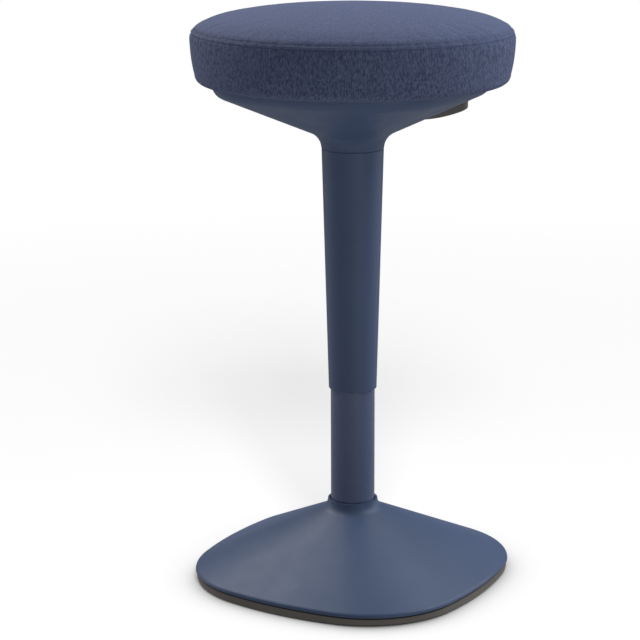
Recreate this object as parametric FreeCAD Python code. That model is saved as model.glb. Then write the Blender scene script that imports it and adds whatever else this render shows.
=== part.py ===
import FreeCAD, Part
import math
import os

# Wobble stool: a round cushion on a height-adjustable swivel column over a rocking base.
# Millimetres, +Z up. The origin is on the floor, on the column's axis. The flat sides of
# the base and of the seat pan face +X, -X, +Y and -Y, and their corners lie between.

V = FreeCAD.Vector
UP = V(0, 0, 1)

# Base: a weighted, rounded-square cone on a rocking rubber pad
base_flat = 166.3            # centre to the middle of a flat side
base_corner_extra = 16.4     # how much further out a corner lies
base_slope = 25.55           # degrees above level
base_rim_arc = 4.5
base_rim_straight = 0.2
base_neck = 28.4             # outer radius of the collar round the column
base_neck_arc = 12.7
base_wall = 2.2
pad_height = 12.0
pad_inset = 1.5              # pad edge inside the shell's edge
pad_flat_radius = 96.0       # part of the pad that stands flat on the floor
pad_rise = 3.0               # lift of the pad at its edge, which lets the stool rock
pad_groove_count = 3
pad_groove_width = 2.5
pad_groove_depth = 1.6
pad_screw_count = 8
pad_well_radius = 7.0
pad_well_depth = 6.0
pad_head_thickness = 3.0
pad_head_radius = 6.0
iron_thickness = 10.0        # ballast plate
iron_hub_flare = 21.0        # foot of the plate's hub, beyond the tube
iron_hub_wall = 5.5
iron_rib_count = 8
iron_rib_length = 62.0
iron_rib_wall = 6.0
boss_count = 4
boss_radius = 7.0
boss_web_length = 30.0
boss_web_wall = 2.0
screw_radius = 2.5
screw_depth = 8.0
shell_head_radius = 5.0
shell_head_thickness = 3.5

# Column: outer tube in the base, gas cylinder and rod inside it
tube_radius = 25.0
tube_wall = 2.4
tube_length = 319.0
tube_taper_length = 46.0
tube_taper_drop = 0.8        # radius lost along the taper
rod_radius = 5.0
cylinder_radius = 14.0
cylinder_wall = 2.0
bush_length = 70.0
bush_cap = 2.0
bush_flute_count = 12
end_plate_thickness = 3.0
race_thickness = 2.0
ball_count = 9
ball_radius = 2.5
buffer_length = 22.0
rod_stud_radius = 4.0        # rod's end through the piston, and the clip's groove
clip_thickness = 1.8
clip_reach = 4.0
piston_height = 12.0
piston_groove = 3.0
piston_groove_depth = 1.8
nut_across = 13.0
nut_height = 6.0
rod_seal_height = 4.0
rod_guide_height = 18.0
valve_radius = 2.5
valve_height = 26.0
taper_length = 45.0          # cylinder's taper in the seat plate
taper_drop = 1.0
pin_stand = 5.5              # release pin above the cylinder
lift_up = 80.0               # travel above the height shown
lift_down = 120.0            # travel below it

# Sleeve over the column
sleeve_low_radius = 27.1
sleeve_low_height = 221.5
sleeve_wall = 1.45

# Seat: pan, board, foam and cover
seat_underside = 569.5
pan_flat = 139.9
pan_corner_extra = 15.8
pan_slope = 25.46            # degrees above level
pan_rim_arc = 14.7
pan_rim_straight = 1.5
pan_hub = 34.6
pan_hub_arc = 20.9
pan_wall = 2.8
pan_rib_count = 8
pan_rib_wall = 2.2
seat_radius = 177.7
side_height = 46.8           # underside to the start of the shoulder
side_lean = 4.5              # how much less the radius is at the foot of the side
lower_tuck = 9.7             # arc between the side and the underside
crown_height = 36.8          # start of the shoulder to the top of the crown
crown_flank_arc = 99.8
crown_dome_arc = 428.6
cover_thickness = 1.6
cover_hem = 34.0             # cover's width under the board
board_inset = 17.7
board_thickness = 12.0

# Seat plate and release lever, drawn along +X and then turned to the lever's side
lever_side = 45.0            # degrees from +X, over a corner of the pan
channel_width = 60.0
channel_length = 92.0
channel_depth = 29.0
sheet = 2.5
bolt_spacing_x = 130.0
bolt_spacing_y = 110.0
plate_border = 20.0          # seat plate beyond its bolts, along the channel
plate_side_border = 18.0
plate_corner = 14.0
bolt_radius = 3.0
bolt_head_across = 10.0
bolt_head_height = 5.0
tee_nut_radius = 4.2
tee_nut_height = 9.0
tee_flange_radius = 9.5
tee_flange_thickness = 1.4
socket_wall = 4.5            # tube that holds the cylinder's taper
pivot_reach = 24.0           # column axis to the lever's pivot
pivot_radius = 2.5
pivot_clip_radius = 4.6
pivot_clip_thickness = 1.0
arm_thickness = 3.0
arm_width = 20.0
arm_barrel_radius = 5.0
paddle_start = 66.0          # column axis to the paddle's inner edge
paddle_reach = 127.0         # column axis to the paddle's outer edge
paddle_drop = 41.1           # paddle's inner edge below the cushion
paddle_width = 60.0
paddle_thickness = 10.0
paddle_slope = 9.5           # degrees
paddle_bow = 2.7             # belly of the paddle's underside
paddle_corner = 12.0

# Small clearances
end_overlap = 5.0            # how far a cutting form runs past a face
shaft_fit = 0.05
pin_fit = 0.1
ring_gap = 0.3               # collar ring to the shell
edge_break = 0.8             # small bevels and rounded edges
side_turn = 9.0              # half the turn of a long side arc, in degrees

shapes = {}


def disc(radius, low, high, x=0.0, y=0.0):
    return Part.makeCylinder(radius, high - low, V(x, y, low))


def ring(outer, inner, low, high):
    return disc(outer, low, high).cut(disc(inner, low - 1.0, high + 1.0))


def fuse(first, *others):
    return first.fuse(list(others)).removeSplitter()


def outline(start, *steps):
    """Closed wire in the XZ plane. A step is the end of a line, or (middle, end) of an arc."""
    edges = []
    here = V(start[0], 0, start[1])
    for step in steps:
        if isinstance(step[0], tuple):
            middle = V(step[0][0], 0, step[0][1])
            end = V(step[1][0], 0, step[1][1])
            edges.append(Part.Arc(here, middle, end).toShape())
        else:
            end = V(step[0], 0, step[1])
            edges.append(Part.makeLine(here, end))
        here = end
    edges.append(Part.makeLine(here, V(start[0], 0, start[1])))
    return Part.Wire(edges)


def turned(start, *steps):
    return Part.Face(outline(start, *steps)).revolve(V(0, 0, 0), UP, 360)


def box(x_low, x_high, width, low, high):
    return Part.makeBox(x_high - x_low, width, high - low, V(x_low, -width / 2, low))


def around(shape, count, first=0.0):
    copies = []
    for number in range(count):
        copy = shape.copy()
        copy.rotate(V(0, 0, 0), UP, first + number * 360.0 / count)
        copies.append(copy)
    return copies


def hexagon(across_flats, low, high, x=0.0, y=0.0):
    reach = across_flats / math.sqrt(3)
    corners = []
    for number in range(7):
        angle = math.radians(60 * number)
        corners.append(V(x + reach * math.cos(angle), y + reach * math.sin(angle), low))
    return Part.Face(Part.makePolygon(corners)).extrude(V(0, 0, high - low))


def to_lever_side(shape):
    turned_copy = shape.copy()
    turned_copy.rotate(V(0, 0, 0), UP, lever_side)
    return turned_copy


def rounded_square(flat, corner_extra, height):
    """Wire of four long side arcs and four corner arcs, tangent to each other."""
    half = math.radians(side_turn)
    spread = math.cos(half) - math.sin(half)
    shift = corner_extra / (1 + (math.sqrt(2) * math.sin(half) - 1) / spread)
    side_radius = flat + shift
    corner_centre = shift * math.sin(half) / spread
    corner_radius = flat + corner_extra - math.sqrt(2) * corner_centre

    def on_side(angle):
        return V(-shift + side_radius * math.cos(angle), side_radius * math.sin(angle), height)

    def on_corner(angle):
        return V(corner_centre + corner_radius * math.cos(angle),
                 corner_centre + corner_radius * math.sin(angle), height)

    side = Part.Arc(on_side(-half), on_side(0), on_side(half)).toShape()
    corner = Part.Arc(on_side(half), on_corner(math.pi / 4), on_corner(math.pi / 2 - half)).toShape()
    edges = []
    for quarter in range(4):
        for edge in (side, corner):
            copy = edge.copy()
            copy.rotate(V(0, 0, 0), UP, 90 * quarter)
            edges.append(copy)
    return Part.Wire(edges)


def prism(flat, corner_extra, low, high):
    return Part.Face(rounded_square(flat, corner_extra, low)).extrude(V(0, 0, high - low))


def funnel_depth(rim, neck, slope, rim_arc, neck_arc, rim_straight):
    """Distance along the axis from the rim's edge to the end of the neck's arc."""
    half_turn = math.tan(math.radians(90 - slope) / 2)
    flank = (rim - neck) * math.tan(math.radians(slope))
    return rim_straight + flank + (rim_arc + neck_arc) * half_turn


def funnel(rim, neck, slope, rim_arc, neck_arc, rim_straight, corner_extra, inward, overlap):
    """Solid funnel with its rim's edge at height 0 and its neck upward.

    inward moves every face in by a wall, and overlap lengthens both ends.
    """
    angle = math.radians(slope)
    half_turn = math.tan(math.radians(90 - slope) / 2)
    shift = inward * (math.tan(angle) - 1 / math.cos(angle))
    rim_corner = rim_straight + rim_arc * half_turn + shift
    neck_corner = rim_corner + (rim - neck) * math.tan(angle)
    neck_end = neck_corner - shift + neck_arc * half_turn + overlap
    edge = prism(rim - inward, corner_extra, -overlap, rim_corner)
    flank = Part.makeLoft([rounded_square(rim - inward, corner_extra, rim_corner),
                           rounded_square(neck - inward, 0.0, neck_corner)], True, True)
    collar = prism(neck - inward, 0.0, neck_corner, neck_end)
    form = edge.fuse([flank, collar])
    rim_edges = [line for line in form.Edges
                 if abs(line.BoundBox.ZMax - rim_corner) < 0.01 and line.BoundBox.ZLength < 0.01]
    form = form.makeFillet(rim_arc - inward, rim_edges)
    neck_edges = [line for line in form.Edges
                  if abs(line.BoundBox.ZMax - neck_corner) < 0.01 and line.BoundBox.ZLength < 0.01]
    return form.makeFillet(neck_arc + inward, neck_edges)


# Heights that follow from the sizes above
pad_gap = 0.6
shell_bottom = pad_height + pad_gap
collar_straight = 0.6
base_sizes = (base_flat, base_neck, base_slope, base_rim_arc, base_neck_arc, base_rim_straight)
base_neck_end = shell_bottom + funnel_depth(*base_sizes)
collar_top = base_neck_end + collar_straight
pan_sizes = (pan_flat, pan_hub, pan_slope, pan_rim_arc, pan_hub_arc, pan_rim_straight)
hub_bottom = seat_underside - funnel_depth(*pan_sizes)
board_bottom = seat_underside + cover_thickness
board_top = board_bottom + board_thickness
board_radius = seat_radius - board_inset
shoulder_height = seat_underside + side_height
seat_top = shoulder_height + crown_height
tube_bottom = pad_height + 4.0
tube_top = tube_bottom + tube_length
tube_bore = tube_radius - tube_wall
end_plate_low = tube_bottom + 4.0
end_plate_high = end_plate_low + end_plate_thickness
lower_race_top = end_plate_high + race_thickness
upper_race_low = lower_race_top + 2 * ball_radius
upper_race_top = upper_race_low + race_thickness
buffer_top = upper_race_top + buffer_length
cylinder_bottom = buffer_top + 3.0 + lift_down
plate_top = board_bottom
pivot_height = plate_top - 10.3
pin_top = pivot_height - arm_thickness / 2 - 0.3
cylinder_top = pin_top - pin_stand
taper_start = cylinder_top - taper_length
bush_low = tube_top - bush_length
rod_seal_low = cylinder_bottom + 1.0
rod_guide_low = rod_seal_low + rod_seal_height
rod_guide_top = rod_guide_low + rod_guide_height
piston_low = rod_guide_top + 4.0 + lift_up
piston_top = piston_low + piston_height
seal_low = piston_low + 4.0
rod_low = tube_bottom + 0.6
clip_top = end_plate_low - edge_break
cylinder_bore = cylinder_radius - cylinder_wall
socket_radius = cylinder_radius + socket_wall


# Base pieces
iron_top = pad_height + iron_thickness
iron_hub_top = tube_bottom + tube_taper_length
shell_screw_reach = base_flat - 26.0
pad_screw_reach = (pad_flat_radius + base_flat) / 2 - 12.0


def base_space(inward):
    space = funnel(*base_sizes, base_corner_extra, inward, end_overlap)
    space.translate(V(0, 0, shell_bottom))
    return space


def make_base_shell():
    outer = funnel(*base_sizes, base_corner_extra, 0.0, end_overlap)
    outer = outer.common(disc(2 * base_flat, 0, collar_top - shell_bottom))
    outer.translate(V(0, 0, shell_bottom))
    space = base_space(base_wall)
    shell = outer.cut(space)
    post = disc(boss_radius, iron_top, collar_top, shell_screw_reach)
    web = box(shell_screw_reach, shell_screw_reach + boss_web_length, boss_web_wall,
              iron_top + 1.0, collar_top)
    supports = around(post, boss_count, 45.0) + around(web, boss_count, 45.0)
    inside = [piece.common(space) for piece in supports]
    shell = fuse(shell, *inside)
    bore = disc(screw_radius, shell_bottom, iron_top + screw_depth + 1.0, shell_screw_reach)
    for hole in around(bore, boss_count, 45.0):
        shell = shell.cut(hole)
    return shell


def make_ballast_plate():
    edge = base_flat - base_wall - 8.0
    slab = prism(edge, base_corner_extra, pad_height, iron_top).common(base_space(base_wall + 1.5))
    foot = tube_radius + iron_hub_flare
    top = tube_radius + iron_hub_wall
    hub = turned((0, pad_height), (foot, pad_height), (foot, iron_top),
                 ((foot - 8.5, iron_top + 5.5), (foot - 11.5, iron_top + 16.0)),
                 (top + 2.0, iron_hub_top - 2.0), (top, iron_hub_top), (0, iron_hub_top))
    rib_end = tube_radius + iron_rib_length
    rib_face = outline((tube_radius + 2.0, iron_top - 1.0), (rib_end, iron_top - 1.0),
                       (rib_end, iron_top), (tube_radius + 2.0, iron_hub_top - 6.0))
    rib = Part.Face(rib_face).extrude(V(0, iron_rib_wall, 0))
    rib.translate(V(0, -iron_rib_wall / 2, 0))
    plate = fuse(slab, hub, *around(rib, iron_rib_count))
    socket = turned((0, tube_bottom), (tube_radius - tube_taper_drop, tube_bottom),
                    (tube_radius, iron_hub_top), (tube_radius, iron_hub_top + 5.0), (0, iron_hub_top + 5.0))
    plate = plate.cut(socket)
    well_top = pad_height + shell_head_thickness + 0.5
    well = turned((0, pad_height - 1.0), (shell_head_radius + 0.5, pad_height - 1.0),
                  (shell_head_radius + 0.5, well_top), (screw_radius + 0.25, well_top),
                  (screw_radius + 0.25, iron_top + 1.0), (0, iron_top + 1.0))
    well.translate(V(shell_screw_reach, 0, 0))
    tapped = disc(screw_radius, pad_height - 1.0, iron_top + 1.0, pad_screw_reach)
    for hole in around(well, boss_count, 45.0) + around(tapped, pad_screw_count):
        plate = plate.cut(hole)
    return plate


def make_shell_screws():
    head_low = pad_height + 0.5
    head_top = head_low + shell_head_thickness
    end = iron_top + screw_depth
    screw = turned((0, head_low), (shell_head_radius, head_low), (shell_head_radius, head_top),
                   (screw_radius, head_top), (screw_radius, end), (0, end))
    screw.translate(V(shell_screw_reach, 0, 0))
    return Part.makeCompound(around(screw, boss_count, 45.0))


def make_rocker_pad():
    edge = base_flat - pad_inset
    far = edge + base_corner_extra + 6.0
    slope = pad_rise / (base_flat - pad_flat_radius) ** 2
    middle = (pad_flat_radius + far) / 2
    body = turned((0, 0), (pad_flat_radius, 0),
                  ((middle, slope * (middle - pad_flat_radius) ** 2),
                   (far, slope * (far - pad_flat_radius) ** 2)),
                  (far, pad_height), (0, pad_height))
    pad = prism(edge, base_corner_extra, -1.0, pad_height + 1.0).common(body)
    step = (base_flat - pad_flat_radius - 24.0) / pad_groove_count
    half = pad_groove_width / 2
    for number in range(pad_groove_count):
        radius = pad_flat_radius + 14.0 + number * step
        pad = pad.cut(ring(radius + half, radius - half, -1.0, pad_groove_depth + 0.5 * number))
    well = turned((0, -1.0), (pad_well_radius, -1.0), (pad_well_radius, pad_well_depth),
                  (screw_radius, pad_well_depth), (screw_radius, pad_height + 1.0), (0, pad_height + 1.0))
    well.translate(V(pad_screw_reach, 0, 0))
    for hole in around(well, pad_screw_count):
        pad = pad.cut(hole)
    return pad


def make_pad_screws():
    head_low = pad_well_depth - pad_head_thickness
    screw = turned((0, head_low), (pad_head_radius, head_low), (pad_head_radius, pad_well_depth),
                   (screw_radius, pad_well_depth), (screw_radius, iron_top - 1.0), (0, iron_top - 1.0))
    screw.translate(V(pad_screw_reach, 0, 0))
    return Part.makeCompound(around(screw, pad_screw_count))


def make_collar_ring():
    low = base_neck_end - 9.0
    band = ring(base_neck + 5.0, tube_radius, low, base_neck_end - 1.0)
    return band.common(base_space(base_wall + ring_gap))


shapes["rocker_pad"] = make_rocker_pad()
shapes["pad_screws"] = make_pad_screws()
shapes["ballast_plate"] = make_ballast_plate()
shapes["shell_screws"] = make_shell_screws()
shapes["base_shell"] = make_base_shell()
shapes["collar_ring"] = make_collar_ring()


# Column pieces
def make_column_tube():
    taper_top = tube_bottom + tube_taper_length
    return turned((tube_bore, tube_bottom), (tube_radius - tube_taper_drop, tube_bottom),
                  (tube_radius, taper_top), (tube_radius, tube_top), (tube_bore, tube_top))


def make_guide_bush():
    bore = cylinder_radius + shaft_fit
    cap = tube_radius - 0.4
    cap_top = tube_top + bush_cap
    bush = turned((bore + edge_break, bush_low), (tube_bore - 0.6, bush_low), (tube_bore, bush_low + 1.2),
                  (tube_bore, tube_top), (cap, tube_top), (cap, cap_top - 0.4),
                  (cap - 0.4, cap_top), (bore + edge_break, cap_top),
                  (bore, cap_top - edge_break), (bore, bush_low + edge_break))
    flute = disc(1.4, bush_low - 1.0, tube_top - 12.0, (bore + tube_bore) / 2 + 1.0)
    for channel in around(flute, bush_flute_count):
        bush = bush.cut(channel)
    return bush


def make_piston_rod():
    end = piston_top + nut_height + 2.0
    return turned((0, rod_low), (rod_radius - 0.5, rod_low), (rod_radius, rod_low + 0.5),
                  (rod_radius, clip_top - clip_thickness), (rod_stud_radius, clip_top - clip_thickness),
                  (rod_stud_radius, clip_top), (rod_radius, clip_top),
                  (rod_radius, piston_low), (rod_stud_radius, piston_low),
                  (rod_stud_radius, end), (0, end))


def make_piston():
    outer = cylinder_bore - pin_fit
    inner = outer - piston_groove_depth
    seal_top = seal_low + piston_groove
    return turned((rod_stud_radius, piston_low), (outer - edge_break, piston_low),
                  (outer, piston_low + edge_break), (outer, seal_low), (inner, seal_low),
                  (inner, seal_top), (outer, seal_top), (outer, piston_top - edge_break),
                  (outer - edge_break, piston_top), (rod_stud_radius, piston_top))


ball_centre = lower_race_top + ball_radius
ball_reach = rod_radius + ball_radius + 2.6


def make_bearing_cage():
    cage = ring(ball_reach + ball_radius + 1.6, rod_radius + 0.6, ball_centre - 1.0, ball_centre + 1.0)
    pocket = Part.makeSphere(ball_radius + shaft_fit, V(ball_reach, 0, ball_centre))
    for hole in around(pocket, ball_count):
        cage = cage.cut(hole)
    return cage


def make_bearing_balls():
    ball = Part.makeSphere(ball_radius - 0.02, V(ball_reach, 0, ball_centre))
    return Part.makeCompound(around(ball, ball_count))


def make_gas_cylinder():
    tip = cylinder_radius - taper_drop
    return turned((cylinder_bore, cylinder_bottom), (cylinder_radius - 0.6, cylinder_bottom),
                  (cylinder_radius, cylinder_bottom + 0.6), (cylinder_radius, taper_start),
                  (tip, cylinder_top), (tip - cylinder_wall, cylinder_top),
                  (tip - cylinder_wall, taper_start), (cylinder_bore, taper_start - 1.0))


def make_valve_body():
    narrow = cylinder_bore - taper_drop
    low = taper_start - valve_height
    hole = valve_radius + pin_fit
    return turned((hole, low), (cylinder_bore - 3.0, low), (cylinder_bore, low + 3.0),
                  (cylinder_bore, low + 8.0), (cylinder_bore - 1.5, low + 8.0),
                  (cylinder_bore - 1.5, low + 11.0), (cylinder_bore, low + 11.0),
                  (cylinder_bore, taper_start - 1.0), (narrow, taper_start),
                  (narrow, cylinder_top - 1.0), (hole, cylinder_top - 1.0))


race_inner = rod_radius + 1.0
race_outer = tube_bore - 5.0
shapes["column_tube"] = make_column_tube()
shapes["tube_end_plate"] = ring(tube_bore, rod_radius + 0.6, end_plate_low, end_plate_high)
shapes["guide_bush"] = make_guide_bush()
shapes["bearing_lower_race"] = ring(race_outer, race_inner, end_plate_high, lower_race_top)
shapes["bearing_cage"] = make_bearing_cage()
shapes["bearing_balls"] = make_bearing_balls()
shapes["bearing_upper_race"] = ring(race_outer, rod_radius, upper_race_low, upper_race_top)
shapes["piston_rod"] = make_piston_rod()
shapes["rod_clip"] = ring(rod_radius + clip_reach, rod_stud_radius, clip_top - clip_thickness, clip_top)
shapes["rod_buffer"] = turned((rod_radius, upper_race_top), (cylinder_radius - 1.0, upper_race_top),
                              (cylinder_radius - 1.0, buffer_top - 4.0), (cylinder_radius - 4.0, buffer_top),
                              (rod_radius, buffer_top))
shapes["piston"] = make_piston()
shapes["piston_seal"] = ring(cylinder_bore - shaft_fit, cylinder_bore - pin_fit - piston_groove_depth,
                             seal_low, seal_low + piston_groove)
shapes["piston_nut"] = hexagon(nut_across, piston_top, piston_top + nut_height).cut(
    disc(rod_stud_radius, piston_low, piston_top + nut_height + 1.0))
shapes["gas_cylinder"] = make_gas_cylinder()
shapes["rod_seal"] = ring(cylinder_bore, rod_radius + shaft_fit, rod_seal_low, rod_guide_low)
shapes["rod_guide"] = ring(cylinder_bore, rod_radius + shaft_fit, rod_guide_low, rod_guide_top)
shapes["valve_body"] = make_valve_body()
pin_low = taper_start - valve_height - 2.0
shapes["release_pin"] = turned((0, pin_low), (valve_radius, pin_low), (valve_radius, pin_top - 0.5),
                               (valve_radius - 0.5, pin_top), (0, pin_top))


# Sleeve and seat pan
neck_height = 11.0
neck_radius = pan_hub - pan_wall - 0.1
bead_low = hub_bottom + 5.0
flange_low = hub_bottom + 16.0
flange_high = flange_low + 3.0
retainer_thickness = 1.8
retainer_grip = 1.0
lever_slot_start = 58.0
lever_slot_width = paddle_width + 8.0


def make_column_sleeve():
    low = sleeve_low_height
    top_radius = pan_hub - 0.1
    inner_low = sleeve_low_radius - sleeve_wall
    inner_top = neck_radius - 2.0
    return turned((inner_low + 0.4, low), (sleeve_low_radius - 0.6, low), (sleeve_low_radius, low + 0.6),
                  (top_radius, hub_bottom - 0.6), (top_radius - 0.6, hub_bottom),
                  (neck_radius, hub_bottom), (neck_radius, bead_low),
                  (neck_radius + 0.6, bead_low + 0.6), (neck_radius + 0.6, bead_low + 1.4),
                  (neck_radius, bead_low + 2.0), (neck_radius, hub_bottom + neck_height),
                  (inner_top, hub_bottom + neck_height), (inner_top, hub_bottom - 2.0),
                  (inner_low, low + 0.4))


def make_seat_pan():
    outer = funnel(*pan_sizes, pan_corner_extra, 0.0, end_overlap)
    outer = outer.common(disc(2 * pan_flat, 0, seat_underside - hub_bottom)).mirror(V(0, 0, 0), UP)
    space = funnel(*pan_sizes, pan_corner_extra, pan_wall, end_overlap).mirror(V(0, 0, 0), UP)
    outer.translate(V(0, 0, seat_underside))
    space.translate(V(0, 0, seat_underside))
    pan = outer.cut(space)
    flange = ring(pan_hub, socket_radius + 0.3, flange_low, flange_high).common(space)
    rib = box(socket_radius + 4.0, pan_flat, pan_rib_wall, flange_low, flange_high + 12.0)
    inside = [piece.common(space) for piece in around(rib, pan_rib_count, 180.0 / pan_rib_count)]
    pan = fuse(pan, flange, *inside)
    groove = turned((neck_radius - 1.0, bead_low), (neck_radius + 0.1, bead_low),
                    (neck_radius + 0.6, bead_low + 0.5), (neck_radius + 0.6, bead_low + 1.5),
                    (neck_radius + 0.1, bead_low + 2.0), (neck_radius - 1.0, bead_low + 2.0))
    edge = turned((pan_hub - 0.6, hub_bottom), (pan_hub + 1.0, hub_bottom),
                  (pan_hub + 1.0, hub_bottom + 1.6))
    slot = box(lever_slot_start, paddle_reach + 9.0, lever_slot_width, hub_bottom, board_bottom - 6.0)
    corners = [edge_line for edge_line in slot.Edges if abs(edge_line.tangentAt(0).z) > 0.9]
    slot = to_lever_side(slot.makeFillet(10.0, corners))
    return pan.cut(groove).cut(edge).cut(slot)


shapes["column_sleeve"] = make_column_sleeve()
shapes["seat_pan"] = make_seat_pan()
shapes["pan_retaining_ring"] = ring(socket_radius + 4.0, socket_radius - retainer_grip,
                                    flange_low - retainer_thickness, flange_low)


# Seat plate, its bolts and the release lever
channel_low = plate_top - sheet - channel_depth
bolt_places = [(x * bolt_spacing_x / 2, y * bolt_spacing_y / 2) for x in (-1, 1) for y in (-1, 1)]


def make_seat_plate():
    under = plate_top - sheet
    top = box(-bolt_spacing_x / 2 - plate_border, bolt_spacing_x / 2 + plate_border,
              bolt_spacing_y + 2 * plate_side_border, under, plate_top)
    corners = [edge for edge in top.Edges if abs(edge.tangentAt(0).z) > 0.9]
    top = top.makeFillet(plate_corner, corners)
    half = channel_length / 2
    channel = box(-half, half, channel_width, channel_low, under)
    channel = channel.cut(box(-half - 1, half + 1, channel_width - 2 * sheet, channel_low + sheet,
                              plate_top + 1.0))
    tube = disc(socket_radius, flange_low - 5.0, cylinder_top - 6.0)
    foot = turned((0, channel_low - 9.0), (socket_radius, channel_low - 9.0),
                  ((socket_radius + 1.5, channel_low - 3.0), (socket_radius + 8.0, channel_low)),
                  (0, channel_low))
    plate = fuse(top, channel, tube, foot)
    bore = turned((0, flange_low - 6.0), (cylinder_radius, flange_low - 6.0), (cylinder_radius, taper_start),
                  (cylinder_radius - taper_drop, cylinder_top), (0, cylinder_top))
    plate = plate.cut(bore)
    plate = plate.cut(ring(socket_radius + 1.0, socket_radius - retainer_grip,
                           flange_low - retainer_thickness, flange_low))
    pin_hole = Part.makeCylinder(pivot_radius, channel_width + 2,
                                 V(pivot_reach, -channel_width / 2 - 1, pivot_height), V(0, 1, 0))
    plate = plate.cut(pin_hole)
    for x, y in bolt_places:
        plate = plate.cut(disc(bolt_radius + 0.2, under - 1.0, plate_top + 1.0, x, y))
    for side in (-1, 1):
        lightening = disc(9.0, under - 1.0, plate_top + 1.0, 0, side * (channel_width / 2 + 14.0))
        plate = plate.cut(lightening)
    return to_lever_side(plate)


def make_plate_bolts():
    under = plate_top - sheet
    bolts = []
    for x, y in bolt_places:
        head = hexagon(bolt_head_across, under - bolt_head_height, under, x, y)
        bolts.append(fuse(head, disc(bolt_radius, under, board_top - 1.0, x, y)))
    return to_lever_side(Part.makeCompound(bolts))


def make_tee_nuts():
    nuts = []
    for x, y in bolt_places:
        barrel = disc(tee_nut_radius, board_top - tee_nut_height, board_top, x, y)
        flange = disc(tee_flange_radius, board_top, board_top + tee_flange_thickness, x, y)
        nuts.append(fuse(barrel, flange).cut(disc(bolt_radius, board_bottom, board_top + 2.0, x, y)))
    return to_lever_side(Part.makeCompound(nuts))


pin_core = pivot_radius - 0.7
clip_side = channel_width / 2 + 0.4


def make_pivot_pin():
    reach = clip_side + pivot_clip_thickness + 2.1
    start = V(pivot_reach, clip_side, pivot_height)
    pin = Part.makeCylinder(pivot_radius, 2 * reach, V(pivot_reach, -reach, pivot_height), V(0, 1, 0))
    groove = Part.makeCylinder(pivot_radius + 1.5, pivot_clip_thickness, start, V(0, 1, 0))
    near = groove.cut(Part.makeCylinder(pin_core, pivot_clip_thickness, start, V(0, 1, 0)))
    far = near.mirror(V(0, 0, 0), V(0, 1, 0))
    return to_lever_side(pin.cut(near).cut(far))


def make_pivot_clips():
    start = V(pivot_reach, clip_side, pivot_height)
    clip = Part.makeCylinder(pivot_clip_radius, pivot_clip_thickness, start, V(0, 1, 0))
    clip = clip.cut(Part.makeCylinder(pin_core, pivot_clip_thickness, start, V(0, 1, 0)))
    mouth = Part.makeBox(pivot_clip_radius - 1.6, pivot_clip_thickness, pivot_clip_radius + 1.4,
                         V(pivot_reach - pivot_clip_radius / 2 + 0.8, clip_side, pivot_height + 0.6))
    clip = clip.cut(mouth)
    return to_lever_side(Part.makeCompound([clip, clip.mirror(V(0, 0, 0), V(0, 1, 0))]))


# The paddle's underside leaves the pan at its inner edge and rises outward
paddle_low = seat_underside - paddle_drop
paddle_rise = math.tan(math.radians(paddle_slope))
arm_knee = pivot_reach + 14.0


def paddle_height(reach):
    return paddle_low + (reach - paddle_start) * paddle_rise


def make_lever_arm():
    """Bent strip: level over the pin, down through the slot, and up inside the paddle."""
    middle = (paddle_thickness - arm_thickness) / 2
    level = pivot_height - arm_thickness / 2
    bend = paddle_start + 8.0
    tip = paddle_reach - 18.0
    start = -8.0
    below = [(start, level), (arm_knee, level), (bend, paddle_height(bend) + middle),
             (tip, paddle_height(tip) + middle)]
    points = below + [(x, z + arm_thickness) for x, z in reversed(below)]
    strip = Part.Face(outline(points[0], *points[1:])).extrude(V(0, arm_width, 0))
    strip.translate(V(0, -arm_width / 2, 0))
    half = channel_width / 2 - sheet - 0.6
    barrel = Part.makeCylinder(arm_barrel_radius, 2 * half, V(pivot_reach, -half, pivot_height), V(0, 1, 0))
    bore = Part.makeCylinder(pivot_radius + shaft_fit, 2 * half + 2,
                             V(pivot_reach, -half - 1, pivot_height), V(0, 1, 0))
    return fuse(strip, barrel).cut(bore)


def make_lever_paddle(arm):
    toe = 5.0
    top_edge = 2.0
    end_low = paddle_height(paddle_reach)
    toe_reach = paddle_reach - toe
    belly_reach = (paddle_start + toe_reach) / 2
    side = outline((paddle_start, paddle_low),
                   ((belly_reach, paddle_height(belly_reach) - paddle_bow),
                    (toe_reach, paddle_height(toe_reach))),
                   ((paddle_reach - 1.3, end_low + 1.2), (paddle_reach, end_low + toe)),
                   (paddle_reach, end_low + paddle_thickness - top_edge),
                   ((paddle_reach - 0.3 * top_edge, end_low + paddle_thickness - 0.3 * top_edge),
                    (paddle_reach - top_edge, end_low + paddle_thickness)),
                   (paddle_start + top_edge, paddle_height(paddle_start + top_edge) + paddle_thickness),
                   (paddle_start, paddle_low + paddle_thickness - top_edge))
    block = Part.Face(side).extrude(V(0, paddle_width, 0))
    block.translate(V(0, -paddle_width / 2, 0))
    plan = box(paddle_start - 1.0 - paddle_corner, paddle_reach, paddle_width,
               paddle_low - paddle_thickness, end_low + 2 * paddle_thickness)
    corners = [edge for edge in plan.Edges if abs(edge.tangentAt(0).z) > 0.9]
    return block.common(plan.makeFillet(paddle_corner, corners)).cut(arm)


lever_arm = make_lever_arm()
shapes["seat_plate"] = make_seat_plate()
shapes["plate_bolts"] = make_plate_bolts()
shapes["tee_nuts"] = make_tee_nuts()
shapes["lever_pivot_pin"] = make_pivot_pin()
shapes["pivot_clips"] = make_pivot_clips()
shapes["lever_arm"] = to_lever_side(lever_arm)
shapes["lever_paddle"] = to_lever_side(make_lever_paddle(lever_arm))


# Seat board, foam and cover
crown_turns = (0, 62.8, 78.5, 84, 90)


def make_seat_board():
    board = disc(board_radius, board_bottom, board_top)
    holes = [disc(bolt_radius + 0.2, board_bottom - 1.0, board_top, x, y) for x, y in bolt_places]
    return board.cut(shapes["tee_nuts"]).cut(to_lever_side(Part.makeCompound(holes)))


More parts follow.
